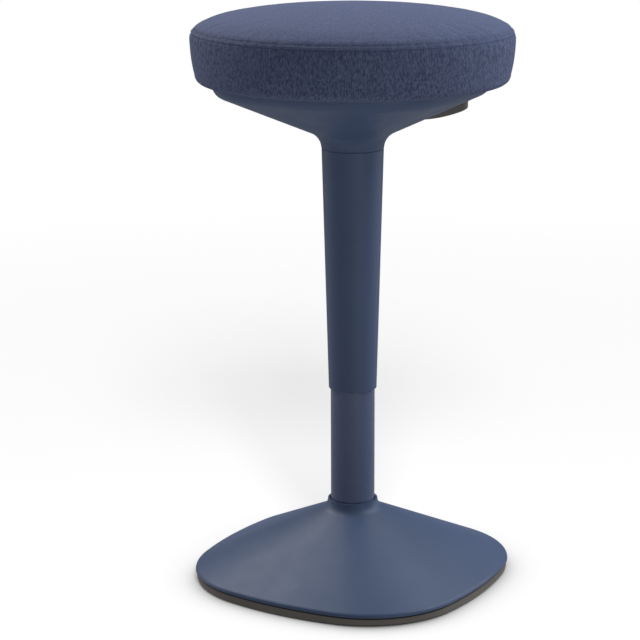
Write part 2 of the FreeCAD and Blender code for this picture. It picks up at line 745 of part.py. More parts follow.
def crown_arcs(inward):
    """Four tangent arcs, tight at the shoulder and almost flat on top, in the XZ plane."""
    turns = [math.radians(turn) for turn in crown_turns]
    second = crown_flank_arc
    third = crown_dome_arc
    across = (seat_radius - second * (math.cos(turns[1]) - math.cos(turns[2]))
              - third * (math.cos(turns[2]) - math.cos(turns[3])))
    upward = (crown_height - second * (math.sin(turns[2]) - math.sin(turns[1]))
              - third * (math.sin(turns[3]) - math.sin(turns[2])))
    shoulder_x = 1 - math.cos(turns[1])
    shoulder_z = math.sin(turns[1])
    summit_x = math.cos(turns[3])
    summit_z = 1 - math.sin(turns[3])
    scale = shoulder_x * summit_z - summit_x * shoulder_z
    first = (across * summit_z - summit_x * upward) / scale
    last = (shoulder_x * upward - shoulder_z * across) / scale
    radii = [first, second, third, last]
    centre = V(seat_radius - first, 0, shoulder_height)
    arcs = []
    for number, radius in enumerate(radii):
        low_turn = turns[number]
        high_turn = turns[number + 1]
        if number > 0:
            step = radii[number - 1] - radius
            centre = centre + V(step * math.cos(low_turn), 0, step * math.sin(low_turn))
        points = []
        for turn in (low_turn, (low_turn + high_turn) / 2, high_turn):
            outward = V(math.cos(turn), 0, math.sin(turn))
            points.append(centre + outward * (radius - inward))
        if number == 3:
            points[2] = V(0, 0, points[2].z)
        arcs.append(Part.Arc(*points).toShape())
    return arcs


def cushion_side(inward, start):
    """Edges from the underside at radius start, round the tucked lower edge and up the side,
    which leans out to the shoulder, and over the domed crown to the axis."""
    radius = seat_radius - inward
    low = seat_underside + inward
    tuck = lower_tuck - inward
    foot = radius - side_lean
    bend = tuck * (1 - math.sqrt(0.5))
    waist = low + tuck + 0.5 * (shoulder_height - low - tuck)
    return [Part.makeLine(V(start, 0, low), V(foot - tuck, 0, low)),
            Part.Arc(V(foot - tuck, 0, low), V(foot - bend, 0, low + bend),
                     V(foot, 0, low + tuck)).toShape(),
            Part.Arc(V(foot, 0, low + tuck), V(radius - side_lean / 4, 0, waist),
                     V(radius, 0, shoulder_height)).toShape()] + crown_arcs(inward)


def make_foam_core():
    top = seat_top - cover_thickness
    edges = cushion_side(cover_thickness, board_radius)
    edges += [Part.makeLine(V(0, 0, top), V(0, 0, board_top)),
              Part.makeLine(V(0, 0, board_top), V(board_radius, 0, board_top)),
              Part.makeLine(V(board_radius, 0, board_top), V(board_radius, 0, board_bottom))]
    foam = Part.Face(Part.Wire(edges)).revolve(V(0, 0, 0), UP, 360)
    return foam.cut(shapes["tee_nuts"])


def make_seat_cover():
    hem = board_radius - cover_hem
    outer = cushion_side(0.0, hem)
    inner = cushion_side(cover_thickness, hem)
    top = seat_top
    closing = [Part.makeLine(V(0, 0, top), V(0, 0, top - cover_thickness)),
               Part.makeLine(V(hem, 0, board_bottom), V(hem, 0, seat_underside))]
    profile = Part.Wire(outer + [closing[0]] + inner[::-1] + [closing[1]])
    return Part.Face(profile).revolve(V(0, 0, 0), UP, 360)


shapes["seat_board"] = make_seat_board()
shapes["foam_core"] = make_foam_core()
shapes["seat_cover"] = make_seat_cover()

os.makedirs("parts", exist_ok=True)
for name, shape in shapes.items():
    shape.exportStep("parts/" + name + ".step")
print(len(shapes), "pieces, seat top at", round(seat_top, 1), "mm")
for name, shape in shapes.items():
    if not shape.isValid() or len(shape.Solids) == 0:
        print("problem in", name, shape.isValid(), len(shape.Solids))
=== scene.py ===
import bpy
import math
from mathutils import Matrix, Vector
from mathutils.bvhtree import BVHTree


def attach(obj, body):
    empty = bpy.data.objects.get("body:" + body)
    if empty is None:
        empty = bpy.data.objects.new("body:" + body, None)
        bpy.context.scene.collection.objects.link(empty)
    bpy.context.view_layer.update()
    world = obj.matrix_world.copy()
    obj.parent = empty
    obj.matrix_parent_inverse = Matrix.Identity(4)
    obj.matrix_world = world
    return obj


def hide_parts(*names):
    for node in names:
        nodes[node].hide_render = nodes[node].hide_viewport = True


# Wobble stool: materials, cushion, light and camera. Metres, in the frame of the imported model.

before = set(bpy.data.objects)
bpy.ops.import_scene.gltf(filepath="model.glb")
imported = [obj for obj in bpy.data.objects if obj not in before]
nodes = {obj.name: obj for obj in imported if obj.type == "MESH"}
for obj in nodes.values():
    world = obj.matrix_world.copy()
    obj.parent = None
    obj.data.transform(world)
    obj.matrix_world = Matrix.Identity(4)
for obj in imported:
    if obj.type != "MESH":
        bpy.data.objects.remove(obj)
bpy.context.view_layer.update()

# Cushion sizes, as in the part's source
seat_radius = 0.1777
seat_underside = 0.5695
side_height = 0.0468
side_lean = 0.0045
lower_tuck = 0.0097
crown_height = 0.0368
crown_flank_arc = 0.0998
crown_dome_arc = 0.4286
crown_turns = (0.0, 62.8, 78.5, 84.0, 90.0)
hem_radius = 0.126
shoulder_height = seat_underside + side_height
seat_top = shoulder_height + crown_height

# Seam and stitching at the shoulder
seam_turn = 23.0             # degrees round the shoulder's arc from its start
seam_depth = 0.0009
seam_half_width = 0.0014
stitch_above = 0.0051        # top stitching, measured along the cover from the seam
stitch_dimple = 0.0006
stitch_dimple_width = 0.0013
roll_height = 0.0005         # the fold of cloth between the seam and the stitching
roll_width = 0.0018
pucker_height = 0.00028
pucker_reach = 0.012
stitch_pitch = 0.0036
stitch_length = 0.0027
thread_radius = 0.00042
thread_sides = 6
thread_bands = ((-0.5, 0.25), (-0.38, 0.85), (0.0, 1.0), (0.38, 0.85), (0.5, 0.25))

# Points round the cushion's mesh
turned_count = 540

# Swelling of the cushion by a cloth simulation, of which only the unevenness is used
swell_inset = 0.0022
swell_voxel = 0.005
swell_pressure = 4.0
swell_frames = 20
swell_travel = 0.005
seam_hold = 0.0055
board_hold_height = 0.006
board_hold_width = 0.03
probe_reach = 0.02
swell_gain = 0.6
swell_most = 0.0006


# Colours, written as screen values from 0 to 255
def paint(red, green, blue):
    linear = []
    for value in (red, green, blue):
        share = value / 255
        linear.append(share / 12.92 if share <= 0.04045 else ((share + 0.055) / 1.055) ** 2.4)
    return (*linear, 1.0)


# Materials
class Finish:
    """A material's node tree, with short calls to add and join nodes."""

    def __init__(self, name):
        self.material = bpy.data.materials.new(name)
        self.material.use_nodes = True
        self.tree = self.material.node_tree
        self.shader = self.tree.nodes["Principled BSDF"]

    def set(self, **values):
        for name, value in values.items():
            self.shader.inputs[name.replace("_", " ")].default_value = value

    def add(self, kind, **values):
        node = self.tree.nodes.new(kind)
        for name, value in values.items():
            if hasattr(node, name):
                setattr(node, name, value)
            else:
                node.inputs[name.replace("_", " ")].default_value = value
        return node

    def join(self, source, target):
        self.tree.links.new(source, target)

    def place(self, stretch=(1.0, 1.0, 1.0)):
        """Position in metres, stretched along each axis."""
        where = self.add("ShaderNodeTexCoord")
        scaled = self.add("ShaderNodeVectorMath", operation="MULTIPLY")
        scaled.inputs[1].default_value = stretch
        self.join(where.outputs["Object"], scaled.inputs[0])
        return scaled.outputs["Vector"]

    def noise(self, place, scale, detail=2.0, roughness=0.5):
        node = self.add("ShaderNodeTexNoise", Scale=scale, Detail=detail, Roughness=roughness)
        self.join(place, node.inputs["Vector"])
        return node.outputs["Fac"]

    def math(self, operation, first, second=0.0):
        node = self.add("ShaderNodeMath", operation=operation)
        for socket, value in zip(node.inputs, (first, second)):
            if isinstance(value, (int, float)):
                socket.default_value = value
            else:
                self.join(value, socket)
        return node.outputs[0]

    def spread(self, value, low, high, to_low=0.0, to_high=1.0):
        node = self.add("ShaderNodeMapRange")
        self.join(value, node.inputs["Value"])
        for name, number in (("From Min", low), ("From Max", high), ("To Min", to_low), ("To Max", to_high)):
            node.inputs[name].default_value = number
        return node.outputs["Result"]

    def blend(self, share, first, second):
        node = self.add("ShaderNodeMix", data_type="RGBA")
        self.join(share, node.inputs[0])
        for socket, value in ((node.inputs[6], first), (node.inputs[7], second)):
            if isinstance(value, tuple):
                socket.default_value = value
            else:
                self.join(value, socket)
        return node.outputs[2]

    def colour(self, output):
        self.join(output, self.shader.inputs["Base Color"])

    def roughness(self, output):
        self.join(output, self.shader.inputs["Roughness"])

    def bump(self, height, distance, strength=1.0, under=None):
        node = self.add("ShaderNodeBump", Strength=strength, Distance=distance)
        self.join(height, node.inputs["Height"])
        if under is not None:
            self.join(under, node.inputs["Normal"])
        self.join(node.outputs["Normal"], self.shader.inputs["Normal"])
        return node.outputs["Normal"]


def moulded(name, colour, other, rough=0.46, grain=0.00004):
    """Fine-grained moulded plastic, with faint flow marks and a slightly uneven gloss."""
    finish = Finish(name)
    place = finish.place()
    slow = finish.noise(place, 7.0, 3.0)
    finish.colour(finish.blend(finish.spread(slow, 0.3, 0.7), colour, other))
    patches = finish.noise(place, 38.0, 4.0)
    finish.roughness(finish.spread(patches, 0.3, 0.7, rough - 0.04, rough + 0.05))
    texture = finish.noise(place, 1500.0, 3.0, 0.6)
    finish.bump(texture, grain, 0.6)
    finish.set(Specular_IOR_Level=0.35)
    return finish.material


def painted(name, colour, other, rough=0.28):
    """Powder coat: a fine orange peel, with faint patches of colour and a slightly uneven gloss."""
    finish = Finish(name)
    place = finish.place()
    slow = finish.noise(place, 11.0, 2.0)
    finish.colour(finish.blend(finish.spread(slow, 0.3, 0.7), colour, other))
    patches = finish.noise(place, 90.0, 3.0)
    finish.roughness(finish.spread(patches, 0.3, 0.7, rough - 0.04, rough + 0.05))
    peel = finish.noise(place, 650.0, 2.0)
    finish.bump(peel, 0.000015, 0.5)
    return finish.material


def turned_metal(name, colour, other, rough=0.3):
    """Steel with fine rings left by turning, and light smears of oil."""
    finish = Finish(name)
    rings = finish.noise(finish.place((60.0, 60.0, 4000.0)), 1.0, 3.0)
    smears = finish.noise(finish.place(), 60.0, 4.0)
    finish.colour(finish.blend(finish.spread(smears, 0.3, 0.7), colour, other))
    finish.roughness(finish.spread(smears, 0.3, 0.7, rough - 0.06, rough + 0.1))
    finish.bump(rings, 0.00002, 0.5)
    finish.set(Metallic=1.0)
    return finish.material


def cast_iron():
    finish = Finish("cast_iron")
    place = finish.place()
    sand = finish.noise(place, 420.0, 5.0, 0.7)
    finish.colour(finish.blend(finish.spread(sand, 0.35, 0.7), paint(38, 38, 40), paint(62, 61, 61)))
    finish.bump(sand, 0.0003, 0.7)
    finish.set(Metallic=0.6, Roughness=0.62)
    return finish.material


pad_shade_from = 0.0102      # height in metres from which the pad is painted black: painted shade for the dark line under the shell's rim, which is no gap in the geometry
pad_shade_fade = 0.0006      # dark line under the shell's rim, which is no gap in the geometry


def rubber(name, colour, other, shade_from=None):
    """Rubber with a dull bloom, a fine moulded grain, and painted black shade above shade_from if it is
    given.
    """
    finish = Finish(name)
    place = finish.place()
    bloom = finish.noise(place, 26.0, 4.0, 0.6)
    worn = finish.blend(finish.spread(bloom, 0.3, 0.72), colour, other)
    if shade_from is None:
        finish.colour(worn)
    else:
        # painted shade: the pad turns black near its top, under the shell's rim
        parts = finish.add("ShaderNodeSeparateXYZ")
        finish.join(place, parts.inputs["Vector"])
        shade = finish.spread(parts.outputs["Z"], shade_from, shade_from + pad_shade_fade)
        finish.colour(finish.blend(shade, worn, paint(12, 12, 13)))
    grain = finish.noise(place, 1100.0, 3.0, 0.6)
    finish.bump(grain, 0.00009, 0.7)
    finish.roughness(finish.spread(bloom, 0.3, 0.7, 0.62, 0.74))
    finish.set(Specular_IOR_Level=0.35)
    return finish.material


def plywood():
    """Birch plywood: pale plies seen at the edge and drawn-out grain on the faces."""
    finish = Finish("birch_plywood")
    grain = finish.noise(finish.place((14.0, 170.0, 170.0)), 1.0, 5.0, 0.6)
    plies = finish.add("ShaderNodeTexWave", Scale=95.0, Distortion=0.6, bands_direction="Z")
    finish.join(finish.place(), plies.inputs["Vector"])
    face = finish.blend(finish.spread(grain, 0.3, 0.7), paint(214, 184, 142), paint(193, 158, 114))
    layered = finish.blend(finish.spread(plies.outputs["Fac"], 0.45, 0.75), face, paint(162, 122, 82))
    finish.colour(layered)
    finish.bump(grain, 0.00012, 0.6)
    finish.set(Roughness=0.62)
    return finish.material


def open_foam():
    finish = Finish("open_foam")
    cells = finish.add("ShaderNodeTexVoronoi", Scale=900.0)
    finish.join(finish.place(), cells.inputs["Vector"])
    finish.colour(finish.blend(cells.outputs["Distance"], paint(196, 188, 160), paint(228, 222, 200)))
    finish.bump(cells.outputs["Distance"], 0.0004, 0.8)
    finish.set(Roughness=0.9)
    return finish.material


fabric_hollow_shade = paint(38, 45, 69)
fabric_dark = paint(65, 76, 108)
fabric_middle = paint(94, 106, 143)
fabric_light = paint(126, 138, 179)
weave_period = 0.0011        # metres
top_tone = 0.9                # the cloth's colours are multiplied by these; the side's lower value is painted shade
side_tone_and_shade = 0.8
top_evenness = 0.3           # 0 keeps the whole contrast of light and dark fibres, 0.5 none
side_evenness = 0.0


def melange(name, on_side):
    """Plain-woven navy cloth whose yarns are spun from light and dark fibres; painted shade in the weave's
    hollows and on the side.
    """
    finish = Finish(name)
    where = finish.add("ShaderNodeTexCoord")
    parts = finish.add("ShaderNodeSeparateXYZ")
    finish.join(where.outputs["Object"], parts.inputs["Vector"])
    if on_side:
        evenness = side_evenness
        tone_and_shade = side_tone_and_shade
        angle = finish.math("ARCTAN2", parts.outputs["Y"], parts.outputs["X"])
        across = finish.math("MULTIPLY", angle, seat_radius)
        along = parts.outputs["Z"]
        slubs = finish.noise(finish.place((680.0, 680.0, 210.0)), 1.0, 3.0, 0.7)
        weft = finish.noise(finish.place((110.0, 110.0, 900.0)), 1.0, 2.0, 0.5)
    else:
        evenness = top_evenness
        tone_and_shade = top_tone
        across = parts.outputs["X"]
        along = parts.outputs["Y"]
        slubs = finish.noise(finish.place((760.0, 300.0, 300.0)), 1.0, 3.0, 0.62)
        weft = finish.noise(finish.place((180.0, 900.0, 180.0)), 1.0, 2.0, 0.5)
    clouds = finish.noise(finish.place(), 30.0, 3.0, 0.6)
    yarn = 2 * math.pi / weave_period
    warp_wave = finish.math("SINE", finish.math("MULTIPLY", across, yarn))
    weft_wave = finish.math("SINE", finish.math("MULTIPLY", along, yarn))
    weave = finish.math("MULTIPLY", warp_wave, weft_wave)
    fibres = finish.spread(slubs, 0.4, 0.6, evenness, 1.0 - evenness)
    body = finish.blend(fibres, fabric_dark, fabric_light)
    crossed = finish.blend(finish.spread(weft, 0.42, 0.66, 0.0, 0.45), body, fabric_middle)
    # painted shade: darker in the weave's hollows, where its bump is lowest
    hollow_shade = finish.blend(finish.spread(weave, -1.0, 1.0, 0.22, 0.0), crossed, fabric_hollow_shade)
    faded = finish.blend(finish.spread(clouds, 0.35, 0.7, 0.0, 0.3), hollow_shade, fabric_middle)
    # painted shade: the side's cloth is scaled darker than the top's
    toned = finish.add("ShaderNodeVectorMath", operation="SCALE")
    finish.join(faded, toned.inputs[0])
    toned.inputs["Scale"].default_value = tone_and_shade
    finish.colour(toned.outputs["Vector"])
    threads = finish.bump(weave, 0.00016, 0.6)
    finish.bump(slubs, 0.00022, 0.5, threads)
    finish.set(Roughness=0.86, Specular_IOR_Level=0.25, Sheen_Weight=0.12, Sheen_Roughness=0.45,
               Sheen_Tint=paint(150, 160, 190))
    return finish.material


def sewing_thread():
    finish = Finish("sewing_thread")
    twist = finish.noise(finish.place((1500.0, 1500.0, 1500.0)), 1.0, 2.0)
    finish.colour(finish.blend(twist, paint(92, 101, 134), paint(116, 126, 160)))
    finish.bump(twist, 0.0001, 0.6)
    finish.set(Roughness=0.7, Sheen_Weight=0.15)
    return finish.material


finishes = {
    "navy_shell": moulded("navy_shell", paint(73, 90, 123), paint(77, 94, 127), 0.46),
    "navy_tube": painted("navy_tube", paint(81, 94, 128), paint(85, 98, 132)),
    "lever_plastic": moulded("lever_plastic", paint(98, 95, 93), paint(105, 102, 99), 0.5),
    "black_plastic": moulded("black_plastic", paint(38, 38, 40), paint(44, 44, 46), 0.5),
    "black_paint": painted("black_paint", paint(34, 34, 36), paint(40, 40, 42)),
    "zinc_steel": turned_metal("zinc_steel", (0.52, 0.53, 0.55, 1.0), (0.44, 0.45, 0.48, 1.0)),
    "bright_steel": turned_metal("bright_steel", (0.62, 0.62, 0.63, 1.0), (0.55, 0.55, 0.56, 1.0), 0.18),
    "cast_iron": cast_iron(),
    "pad_rubber": rubber("pad_rubber", paint(111, 106, 101), paint(121, 116, 110), pad_shade_from),
    "seal_rubber": rubber("seal_rubber", paint(30, 30, 31), paint(38, 38, 39)),
    "plywood": plywood(),
    "foam": open_foam(),
    "fabric_top": melange("fabric_top", False),
    "fabric_side": melange("fabric_side", True),
    "thread": sewing_thread(),
}

node_finish = {
    "pad_rubber": ["rocker_pad"],
    "seal_rubber": ["collar_ring", "rod_buffer", "piston_seal", "rod_seal"],
    "zinc_steel": ["pad_screws", "shell_screws", "tube_end_plate", "pan_retaining_ring", "plate_bolts",
                   "tee_nuts", "pivot_clips", "rod_clip", "piston_nut"],
    "bright_steel": ["bearing_lower_race", "bearing_upper_race", "bearing_balls", "piston_rod", "piston",
                     "valve_body", "release_pin", "lever_pivot_pin"],
    "black_plastic": ["guide_bush", "bearing_cage", "rod_guide"],
    "black_paint": ["gas_cylinder", "seat_plate", "lever_arm"],
    "navy_shell": ["base_shell", "column_sleeve", "seat_pan"],
    "navy_tube": ["column_tube"],
    "cast_iron": ["ballast_plate"],
    "lever_plastic": ["lever_paddle"],
    "plywood": ["seat_board"],
    "foam": ["foam_core"],
    "fabric_side": ["seat_cover"],
}
for finish_name, members in node_finish.items():
    for member in members:
        node = nodes[member]
        if not node.data.materials:
            node.data.materials.append(None)
        for slot in node.material_slots:
            slot.link = "OBJECT"
            slot.material = finishes[finish_name]


# Cushion: a turned outline with the slight unevenness of stretched cloth, a seam and stitching
def crown_arcs():
    """The crown's four tangent arcs as centre, radius, and first and last turn from level."""
    turns = [math.radians(turn) for turn in crown_turns]
    second = crown_flank_arc
    third = crown_dome_arc
    across = (seat_radius - second * (math.cos(turns[1]) - math.cos(turns[2]))
              - third * (math.cos(turns[2]) - math.cos(turns[3])))
    upward = (crown_height - second * (math.sin(turns[2]) - math.sin(turns[1]))
              - third * (math.sin(turns[3]) - math.sin(turns[2])))
    shoulder_x = 1 - math.cos(turns[1])
    shoulder_z = math.sin(turns[1])
    summit_x = math.cos(turns[3])
    summit_z = 1 - math.sin(turns[3])
    scale = shoulder_x * summit_z - summit_x * shoulder_z
    first = (across * summit_z - summit_x * upward) / scale
    last = (shoulder_x * upward - shoulder_z * across) / scale
    centre = Vector((seat_radius - first, shoulder_height))
    arcs = []
    before = first
    for number, radius in enumerate((first, second, third, last)):
        outward = Vector((math.cos(turns[number]), math.sin(turns[number])))
        centre = centre + (before - radius) * outward
        arcs.append((centre.copy(), radius, turns[number], turns[number + 1]))
        before = radius
    return arcs


def crown_points(inward, steps):
    """Points from the start of the shoulder to the axis."""
    points = []
    for (centre, radius, start, end), count in zip(crown_arcs(), steps):
        for step in range(count):
            turn = start + (end - start) * step / count
            points.append(centre + (radius - inward) * Vector((math.cos(turn), math.sin(turn))))
    points.append(Vector((0.0, seat_top - inward)))
    return points


def side_points(inward, count):
    """The side from the end of the lower tuck to the shoulder, a curve that ends upright."""
    low = seat_underside + lower_tuck
    points = []
    for step in range(count):
        share = step / count
        radius = seat_radius - side_lean * (1 - share) ** 2
        points.append(Vector((radius - inward, low + share * (shoulder_height - low))))
    return points


def tuck_points(inward, count):
    centre = Vector((seat_radius - side_lean - lower_tuck, seat_underside + lower_tuck))
    points = []
    for step in range(count):
        turn = math.radians(-90 + 90 * step / count)
        points.append(centre + (lower_tuck - inward) * Vector((math.cos(turn), math.sin(turn))))
    return points


def underside_points(height, start, count):
    end = seat_radius - side_lean - lower_tuck
    return [Vector((start + (end - start) * step / count, height)) for step in range(count)]


def lathe(name, points, count, closed_low=True):
    """A turned mesh. The last point lies on the axis, and closed_low closes the first ring as well."""
    vertices = []
    faces = []
    rings = points[:-1]
    for point in rings:
        for step in range(count):
            turn = 2 * math.pi * step / count
            vertices.append((point.x * math.cos(turn), point.x * math.sin(turn), point.y))
    for row in range(len(rings) - 1):
        for step in range(count):
            after = (step + 1) % count
            low = row * count
            faces.append((low + step, low + after, low + count + after, low + count + step))
    vertices.append((0.0, 0.0, points[-1].y))
    top = len(vertices) - 1
    last = (len(rings) - 1) * count
    for step in range(count):
        faces.append((last + step, last + (step + 1) % count, top))
    if closed_low:
        vertices.append((0.0, 0.0, rings[0].y))
        bottom = len(vertices) - 1
        for step in range(count):
            faces.append(((step + 1) % count, step, bottom))
    mesh = bpy.data.meshes.new(name)
    mesh.from_pydata(vertices, [], faces)
    mesh.polygons.foreach_set("use_smooth", [True] * len(faces))
    obj = bpy.data.objects.new(name, mesh)
    bpy.context.scene.collection.objects.link(obj)
    return obj


def apply_modifiers(obj):
    graph = bpy.context.evaluated_depsgraph_get()
    mesh = bpy.data.meshes.new_from_object(obj.evaluated_get(graph))
    obj.modifiers.clear()
    obj.data = mesh


def seam_place():
    centre, radius = crown_arcs()[0][:2]
    turn = math.radians(seam_turn)
    return centre + radius * Vector((math.cos(turn), math.sin(turn)))


def swelled_form():
    """The foam and cover as one cloth skin under pressure, held at its seam and at the board."""
    points = underside_points(seat_underside + swell_inset, 0.01, 14) + tuck_points(swell_inset, 5)
    points += side_points(swell_inset, 10) + crown_points(swell_inset, (8, 8, 14, 14))
    form = lathe("swelled_form", points, 180)
    remesh = form.modifiers.new("remesh", "REMESH")
    remesh.mode = "VOXEL"
    remesh.voxel_size = swell_voxel
    apply_modifiers(form)
    rest = [vertex.co.copy() for vertex in form.data.vertices]
    seam = seam_place()
    held = form.vertex_groups.new(name="held")
    for vertex in form.data.vertices:
        here = Vector((vertex.co.xy.length, vertex.co.z))
        at_seam = (here - seam).length < seam_hold
        at_board = here.y < seat_underside + board_hold_height and here.x < hem_radius + board_hold_width
        if at_seam or at_board:
            held.add([vertex.index], 1.0, "REPLACE")
    cloth = form.modifiers.new("cloth", "CLOTH")
    settings = cloth.settings
    settings.use_pressure = True
    settings.uniform_pressure_force = swell_pressure
    settings.effector_weights.gravity = 0.0
    settings.vertex_group_mass = "held"
    settings.quality = 5
    settings.mass = 0.3
    cloth.point_cache.frame_start = 1
    cloth.point_cache.frame_end = swell_frames
    scene = bpy.context.scene
    for number in range(1, swell_frames + 1):
        scene.frame_set(number)
    apply_modifiers(form)
    for vertex, before in zip(form.data.vertices, rest):
        move = vertex.co - before
        if move.length > swell_travel:
            vertex.co = before + move * (swell_travel / move.length)
    scene.frame_set(1)
    return form


def dressed_points():
    """The cover's outline from its hem to the axis, closest together near the seam."""
    underside = underside_points(seat_underside, hem_radius, 10)
    return underside + tuck_points(0.0, 12) + side_points(0.0, 24) + crown_points(0.0, (80, 10, 20, 24))


def seam_profile(distance):
    """Depth of the cover below its smooth form, for a distance above (+) or below (-) the seam."""
    valley = seam_depth * math.exp(-(distance / (0.45 * seam_half_width)) ** 2)
    dimple = stitch_dimple * math.exp(-((distance - stitch_above) / stitch_dimple_width) ** 2)
    roll = roll_height * math.exp(-((distance - 0.5 * stitch_above) / roll_width) ** 2)
    return valley + dimple - roll


def pucker(distance, turn):
    """Fine irregular gathers of the cloth that fade away from the seam."""
    near = math.exp(-(distance / pucker_reach) ** 2)
    waves = (math.sin(turn * 97 + 0.6) + 0.7 * math.sin(turn * 61 + 2.1)
             + 0.5 * math.sin(turn * 151 + 1.3))
    return pucker_height * near * waves


def swelled_unevenness(mesh, normals):
    """How far the swelled skin departs at each vertex from the mean of its ring, scaled and capped."""
    form = swelled_form()
    tree = BVHTree.FromObject(form, bpy.context.evaluated_depsgraph_get())
    reaches = []
    for vertex, normal in zip(mesh.vertices, normals):
        hit = tree.ray_cast(vertex.co + normal * probe_reach, -normal, 2 * probe_reach)
        reaches.append(0.0 if hit[0] is None else probe_reach - hit[3])
    bpy.data.objects.remove(form)
    uneven = []
    for start in range(0, len(reaches), turned_count):
        ring = reaches[start:start + turned_count]
        mean = sum(ring) / len(ring)
        uneven += [max(-swell_most, min(swell_most, swell_gain * (reach - mean))) for reach in ring]
    return uneven


def make_cushion():
    """The cushion, its outline, the lengths along that outline, and the seam's place in it."""
    points = dressed_points()
    lengths = [0.0]
    for before, after in zip(points, points[1:]):
        lengths.append(lengths[-1] + (after - before).length)
    seam = seam_place()
    seam_number = min(range(len(points)), key=lambda number: (points[number] - seam).length)
    cushion = lathe("seat_cushion", points, turned_count, closed_low=False)
    mesh = cushion.data
    mesh.update()
    normals = [vertex.normal.copy() for vertex in mesh.vertices]
    unevenness = [0.0] * len(mesh.vertices)
    unevenness = swelled_unevenness(mesh, normals)
    for vertex, normal, uneven in zip(mesh.vertices, normals, unevenness):
        row = min(vertex.index // turned_count, len(points) - 1)
        turn = math.atan2(vertex.co.y, vertex.co.x)
        distance = lengths[row] - lengths[seam_number]
        vertex.co += normal * (uneven - seam_profile(distance) + pucker(distance, turn))
    mesh.materials.append(finishes["fabric_side"])
    mesh.materials.append(finishes["fabric_top"])
    for face in mesh.polygons:
        row = min(face.vertices) // turned_count
        face.material_index = 1 if row >= seam_number else 0
    return cushion, points, lengths, seam_number


def add_stitch(vertices, faces, spot, forward, normal):
    """A capsule of thread round spot, lying along forward and sunk at its ends."""
    beside = normal.cross(forward)
    first = len(vertices)
    for along, girth in thread_bands:
        lift = thread_radius * (0.55 - 1.6 * abs(along) ** 2.0)
        centre = spot + forward * along * stitch_length + normal * lift
        for side in range(thread_sides):
            angle = 2 * math.pi * side / thread_sides
            vertices.append(centre + thread_radius * girth
                            * (normal * math.cos(angle) + beside * math.sin(angle)))
    last = first + (len(thread_bands) - 1) * thread_sides
    for low in range(first, last, thread_sides):
        high = low + thread_sides
        for side in range(thread_sides):
            after = (side + 1) % thread_sides
            faces.append((low + side, low + after, high + after, high + side))
    faces.append(tuple(first + side for side in reversed(range(thread_sides))))
    faces.append(tuple(last + side for side in range(thread_sides)))


def make_stitches(cushion, points, lengths, seam_number):
    """A ring of short stitches above the seam, each laid on the cushion's surface."""
    tree = BVHTree.FromObject(cushion, bpy.context.evaluated_depsgraph_get())
    row = min(range(seam_number, len(points)),
              key=lambda number: abs(lengths[number] - lengths[seam_number] - stitch_above))
    here = points[row]
    slope = (points[row + 1] - points[row - 1]).normalized()
    outward = Vector((slope.y, -slope.x))
    total = int(2 * math.pi * here.x / stitch_pitch)
    vertices = []
    faces = []
    for stitch in range(total):
        turn = 2 * math.pi * stitch / total
        radial = Vector((math.cos(turn), math.sin(turn), 0.0))
        forward = Vector((-math.sin(turn), math.cos(turn), 0.0))
        normal = radial * outward.x + Vector((0, 0, 1)) * outward.y
        spot = radial * here.x + Vector((0, 0, here.y))
        hit = tree.ray_cast(spot + normal * probe_reach / 2, -normal, probe_reach)
        if hit[0] is not None:
            spot = hit[0]
        add_stitch(vertices, faces, spot, forward, normal)
    mesh = bpy.data.meshes.new("top_stitching")
    mesh.from_pydata(vertices, [], faces)
    mesh.polygons.foreach_set("use_smooth", [True] * len(faces))
    mesh.materials.append(finishes["thread"])
    stitches = bpy.data.objects.new("top_stitching", mesh)
    bpy.context.scene.collection.objects.link(stitches)
    return stitches


cushion, outline_points, outline_lengths, seam_row = make_cushion()
stitching = make_stitches(cushion, outline_points, outline_lengths, seam_row)
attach(cushion, "seat")
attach(stitching, "seat")
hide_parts("seat_cover", "foam_core")


# Floor, light and camera
camera_azimuth = math.radians(29.6)
camera_distance = 2.3511
camera_height = 0.8815
camera_pitch = 13.9
camera_lens = 120.9
camera_shift = -0.0511       # share of the picture's width

floor_reach = 30.0
floor_drop = 0.0002          # keeps the floor clear of the pad's flat face
floor_glow = 0.69
floor_fade = (0.7, 2.2)      # metres from the column, where the floor turns plain white
floor_shade_reach = 0.07     # the soft shade close to whatever stands on the floor
floor_shade_power = 1.4
sky_strength = 0.08

# Name, metres to the camera's right, towards it and up, width and length, watts, colour
warm = (1.0, 0.97, 0.93)
cool = (0.93, 0.98, 1.0)
lamps = (
    ("back_left", -1.6, -1.1, 2.3, (1.4, 1.4), 39.0, warm),
    ("back", 0.0, -1.7, 2.5, (1.6, 1.4), 14.0, (1.0, 1.0, 1.0)),
    ("back_right", 1.6, -1.1, 2.3, (1.4, 1.4), 16.0, (0.94, 0.98, 1.0)),
    ("right", 2.05, 0.15, 2.2, (1.4, 1.4), 26.0, cool),
    ("low_left", -2.0, -0.9, 0.9, (0.9, 1.8), 8.0, warm),
    ("low_right", 2.0, -0.9, 0.9, (0.9, 1.8), 12.0, (1.0, 1.0, 1.0)),
    ("strip", 0.95, 1.95, 0.35, (0.15, 0.7), 3.2, (1.0, 1.0, 1.0)),
    ("floor_light", 0.7, 7.8, 5.6, (3.2, 3.2), 740.0, (1.0, 1.0, 1.0)),
)


def mix_shaders(finish, share, first, second):
    mixed = finish.add("ShaderNodeMixShader")
    finish.join(share, mixed.inputs[0])
    finish.join(first.outputs[0], mixed.inputs[1])
    finish.join(second.outputs[0], mixed.inputs[2])
    return mixed


